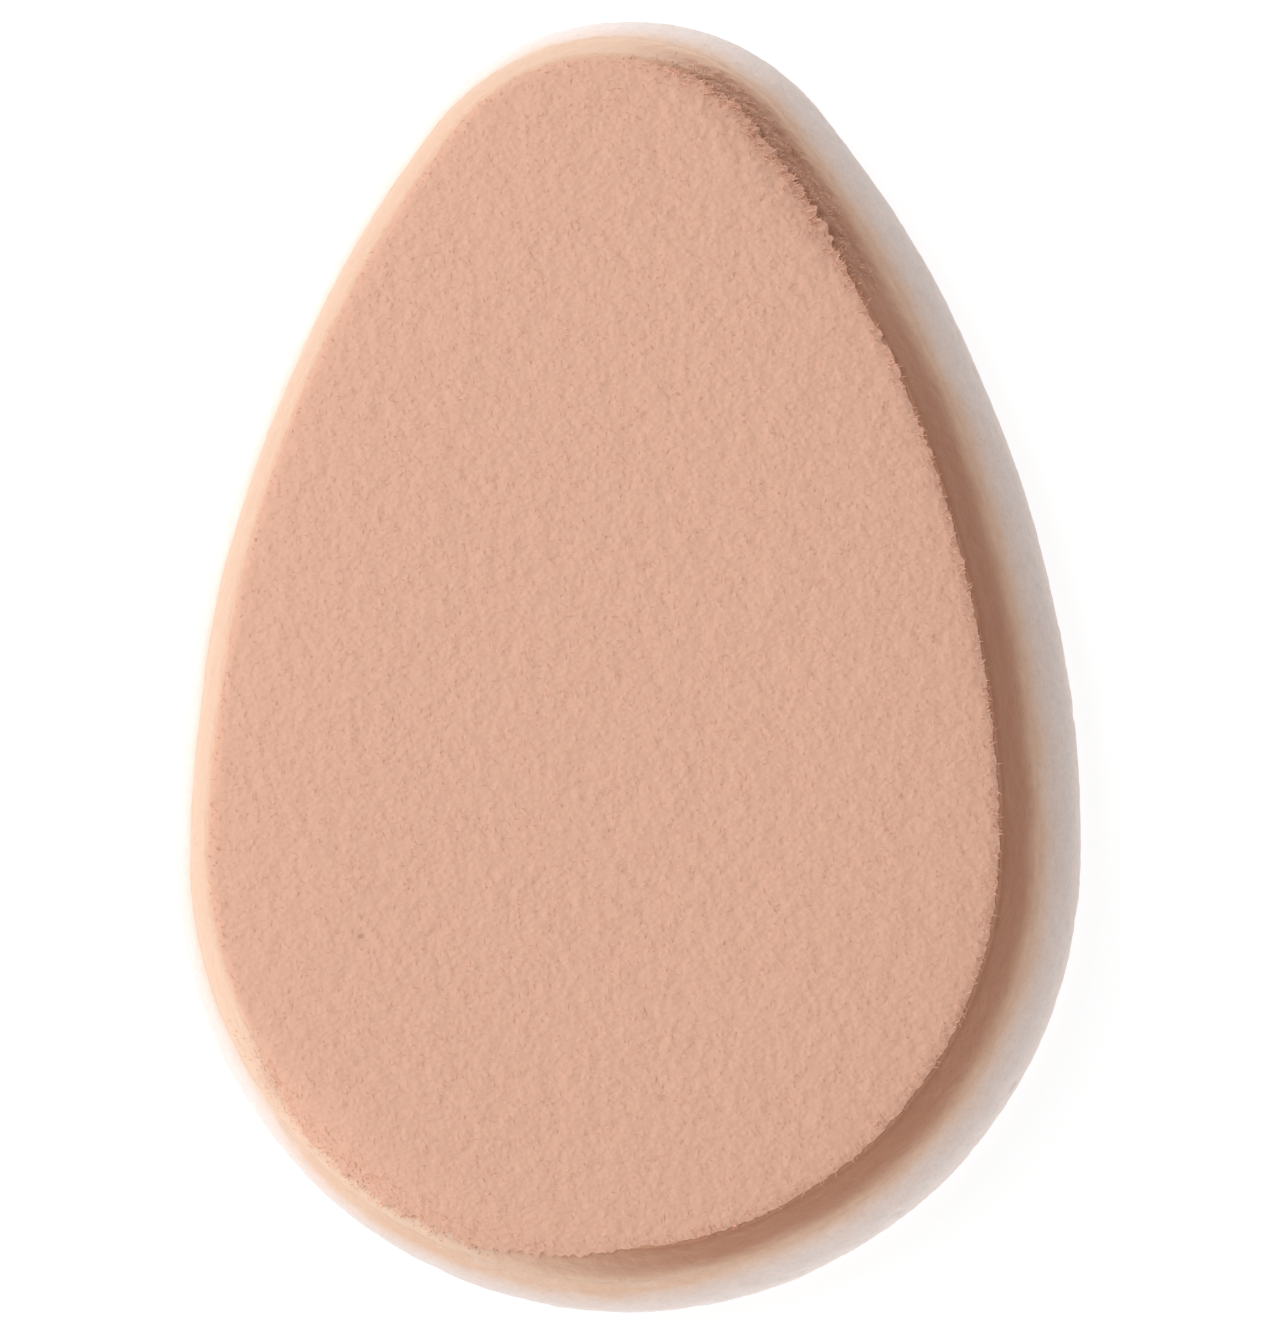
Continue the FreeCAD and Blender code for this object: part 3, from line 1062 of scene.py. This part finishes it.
def make_fibre_tree():
    """Spreads fibres over a surface, as dense as its stored value pile says."""
    tree = bpy.data.node_groups.new("scatter_fibres", "GeometryNodeTree")
    sockets = {
        "Geometry": "NodeSocketGeometry",
        **dict.fromkeys(FIBRE_SIZES, "NodeSocketFloat"),
        "Seed": "NodeSocketInt",
        "Material": "NodeSocketMaterial",
    }
    for label, kind in sockets.items():
        tree.interface.new_socket(label, in_out="INPUT", socket_type=kind)
    tree.interface.new_socket("Geometry", in_out="OUTPUT", socket_type="NodeSocketGeometry")
    given = put(tree, "NodeGroupInput").outputs
    pile = put(tree, "GeometryNodeInputNamedAttribute", {"Name": "pile"}, data_type="FLOAT")
    over_faces = {
        "Mesh": given["Geometry"],
        "Distance Min": given["Spacing"],
        "Density Max": given["Density"],
        "Density Factor": pile.outputs["Attribute"],
        "Seed": given["Seed"],
    }
    spread = put(tree, "GeometryNodeDistributePointsOnFaces", over_faces, distribute_method="POISSON").outputs

    # One fibre of unit height, bent to one side towards its tip
    fibre = put(tree, "GeometryNodeMeshCone", {"Vertices": 3, "Side Segments": 2, "Depth": 1.0})
    position = put(tree, "GeometryNodeInputPosition")
    along = put(tree, "ShaderNodeSeparateXYZ", {0: position}).outputs["Z"]
    sideways = calc(tree, "MULTIPLY", calc(tree, "MULTIPLY", along, along), FIBRE_BEND)
    offset = put(tree, "ShaderNodeCombineXYZ", {"X": sideways, "Z": FIBRE_ROOT})
    bent = put(tree, "GeometryNodeSetPosition", {"Geometry": fibre, "Offset": offset})

    def random(least, most, seed):
        """A random number between two others."""
        limits = {"Min": least, "Max": most, "Seed": seed}
        return put(tree, "FunctionNodeRandomValue", limits, data_type="FLOAT").outputs["Value"]

    def swing(angle, seed):
        """A random angle between plus and minus the angle given."""
        return random(calc(tree, "MULTIPLY", angle, -1.0), angle, calc(tree, "ADD", given["Seed"], seed))

    # Upright on the surface, then leaned by a random angle
    upright = put(tree, "FunctionNodeAlignRotationToVector", {"Vector": spread["Normal"]}, axis="Z")
    leans = {"X": swing(given["Lean Along"], 11.0), "Y": swing(given["Lean Across"], 12.0)}
    lean = put(tree, "ShaderNodeCombineXYZ", leans)
    turn = put(tree, "FunctionNodeEulerToRotation", {"Euler": lean})
    turns = {"Rotation": upright, "Rotate By": turn}
    leaned = put(tree, "FunctionNodeRotateRotation", turns, rotation_space="LOCAL")
    long = calc(tree, "MULTIPLY", given["Length"], random(*FIBRE_LENGTHS, 13))
    size = put(tree, "ShaderNodeCombineXYZ", {"X": given["Thickness"], "Y": given["Thickness"], "Z": long})
    at_points = {"Points": spread["Points"], "Instance": bent, "Rotation": leaned, "Scale": size}
    planted = put(tree, "GeometryNodeInstanceOnPoints", at_points)
    shade = random(given["Darkest"], given["Palest"], 14)
    stored = {"Geometry": planted, "Name": "shade", "Value": shade}
    shaded = put(tree, "GeometryNodeStoreNamedAttribute", stored, data_type="FLOAT", domain="INSTANCE")
    real = put(tree, "GeometryNodeRealizeInstances", {"Geometry": shaded})
    painted = put(tree, "GeometryNodeSetMaterial", {"Geometry": real, "Material": given["Material"]})
    put(tree, "NodeGroupOutput", {"Geometry": painted})
    return tree


fibre_tree = make_fibre_tree()
print("tree", fibre_tree.name, len(fibre_tree.nodes), "nodes")


# %% [markdown]
# ## Plant the fibres
# The tree runs on a copy of the surface, with a stored value that says where fibres grow. Its result is
# turned into a plain mesh and the copy is removed, so that only fibres are left.


# %% Plant the fibres of the face and the rim
def plant(name, surface, pile, sizes):
    """A piece made of the fibres that grow on a surface, as dense as the pile at its points says."""
    carrier = add_object(name + "_carrier", surface.data.copy())
    store(carrier, "pile", pile)
    modifier = carrier.modifiers.new("fibres", "NODES")
    modifier.node_group = fibre_tree
    values = {**dict(zip(FIBRE_SIZES, sizes)), "Material": flock_fibre}
    for item in fibre_tree.interface.items_tree:
        if item.name in values:
            modifier[item.identifier] = values[item.name]
    graph = bpy.context.evaluated_depsgraph_get()
    mesh = bpy.data.meshes.new_from_object(carrier.evaluated_get(graph))
    mesh.name = name
    bpy.data.objects.remove(carrier)
    return add_piece(name, mesh)


# The fibres in the order of FIBRE_SIZES
FACE_FIBRES = (4.0e6, 0.2 * MM, 0.45 * MM, 0.016 * MM, 1.45, 1.1, 0.95, 1.12, 3)
RIM_FIBRES = (80.0e6, 0.05 * MM, 0.34 * MM, 0.028 * MM, 0.8, 0.8, 0.95, 1.15, 4)
# How far down the edge the face's fibres grow, and how far in on the face the rim's fibres grow
FACE_FIBRE_START = -0.8 * MM
RIM_FIBRE_END = (0.2 * MM, 0.7 * MM)
# Rim fibres: their share between clumps, their share at the left, and how much more grow at the right
BETWEEN_CLUMPS = 0.25
RIM_SHARE = 0.12
RIGHT_SHARE = 0.5

nap_points = points_of(flock_nap)
nap_depth = depth_inside(nap_points[:, :2]) - CORNER_INSET

face_pile = outside * smooth_step(nap_depth, FACE_FIBRE_START, 0.0)
face_fibres = plant("flock_fibres_face", flock_nap, face_pile, FACE_FIBRES)
at_rim = outside * (1 - smooth_step(nap_depth, *RIM_FIBRE_END))
in_clumps = BETWEEN_CLUMPS + (1 - BETWEEN_CLUMPS) * patches(nap_points, seed=10)
to_right = smooth_step(nap_points[:, 0], *RIGHT_SIDE)
rim_pile = at_rim * in_clumps * np.clip(RIM_SHARE + RIGHT_SHARE * to_right + rubbed(nap_points), 0, 1)
rim_fibres = plant("flock_fibres_rim", flock_nap, rim_pile, RIM_FIBRES)
for piece in (face_fibres, rim_fibres):
    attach(piece, "face")

# %% [markdown]
# ## Fuzz on the ground side
# At the right of the tip the pad has been rubbed most, and at the left of the big end it is held. There the
# flock rolls over the edge and loose fibres cling to the ground foam: soiled ones at the tip, clean ones at
# the big end. They grow on the foam's side.

# %% Plant the fuzz
# The fuzz in the order of FIBRE_SIZES, up to the leans
FUZZ_SIZES = (30.0e6, 0.07 * MM, 0.26 * MM, 0.030 * MM, 0.9, 0.9)
# How far in from the foam's edge it grows, how far above the bond it starts, and where the hem's fades in
FUZZ_DEPTH = 0.3 * MM
FUZZ_START = 0.4 * MM
HEM_FUZZ = (-3 * MM, -9 * MM)

side_points = points_of(upper_foam_pad)
side_depth = depth_inside(side_points[:, :2])
on_side = 1 - smooth_step(side_depth - inset_at(TOP["upper_foam"]), 0.0, FUZZ_DEPTH)
above_bond = smooth_step(side_points[:, 2], BOTTOM["upper_foam"] + FUZZ_START, TOP["upper_foam"])
held = handled(side_points) * smooth_step(side_points[:, 0], *HEM_FUZZ)
# Each row: the piece, where it grows, its darkest and palest fibre, and its seed
FUZZ = (
    ("side_fuzz", rubbed(side_points) * above_bond, 0.50, 1.10, 5),
    ("hem_fuzz", held * np.sqrt(above_bond), 0.95, 1.12, 6),
)
for name, clinging, darkest, palest, seed in FUZZ:
    fuzz = plant(name, upper_foam_pad, on_side * clinging, (*FUZZ_SIZES, darkest, palest, seed))
    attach(fuzz, "face")
    press_with_face(fuzz)
